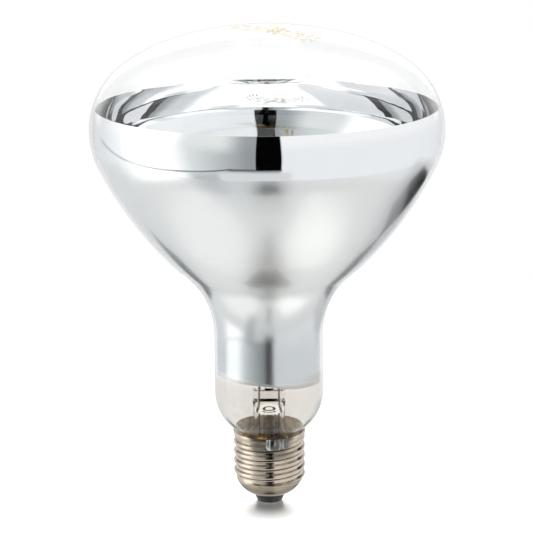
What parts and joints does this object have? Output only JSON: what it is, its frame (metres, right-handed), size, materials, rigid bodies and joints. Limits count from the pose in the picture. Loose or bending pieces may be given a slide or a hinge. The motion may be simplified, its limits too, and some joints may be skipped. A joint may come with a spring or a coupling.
{
  "type": "reflector heat lamp bulb",
  "caption": "Blown reflector bulb with a clear domed front, mirrored funnel and neck, and an Edison screw cap; it gives infrared heat.",
  "frame": {"origin": "tip of the centre contact, on the bulb's axis", "axes": "+Z along the axis from the cap towards the dome; the press is broad along X and the soldered side of the cap faces near -Y"},
  "size_m": [0.125, 0.125, 0.1753],
  "materials": {
    "clear_glass": "clear, fire polished",
    "mirror_film": "evaporated aluminium, bright above and satin below",
    "stem_glass": "clear, fire polished",
    "tungsten": "drawn wire, wound in a coil",
    "molybdenum": "drawn wire",
    "nickel_wire": "drawn wire",
    "copper_wire": "copper-clad seal wire",
    "cement": "baked basing cement",
    "cap_metal": "nickel-plated brass, bright",
    "black_glass": "cast black glass, glossy",
    "contact_metal": "stamped brass",
    "solder": "soft solder, dull"
  },
  "bodies": {
    "root": {"glass_envelope": "clear_glass", "reflector_coating": "mirror_film", "stem": "stem_glass", "exhaust_tube": "stem_glass", "support_rod": "stem_glass", "filament": "tungsten", "filament_support_1": "molybdenum", "filament_support_2": "molybdenum", "filament_support_3": "molybdenum", "filament_support_4": "molybdenum", "filament_support_5": "molybdenum", "inner_lead_left": "nickel_wire", "inner_lead_right": "nickel_wire", "press_seal_left": "copper_wire", "press_seal_right": "copper_wire", "centre_lead": "nickel_wire", "side_lead": "nickel_wire", "basing_cement": "cement", "cap_shell": "cap_metal", "cap_insulator": "black_glass", "centre_contact": "contact_metal", "contact_solder": "solder", "side_solder": "solder"}
  },
  "joints": []
}
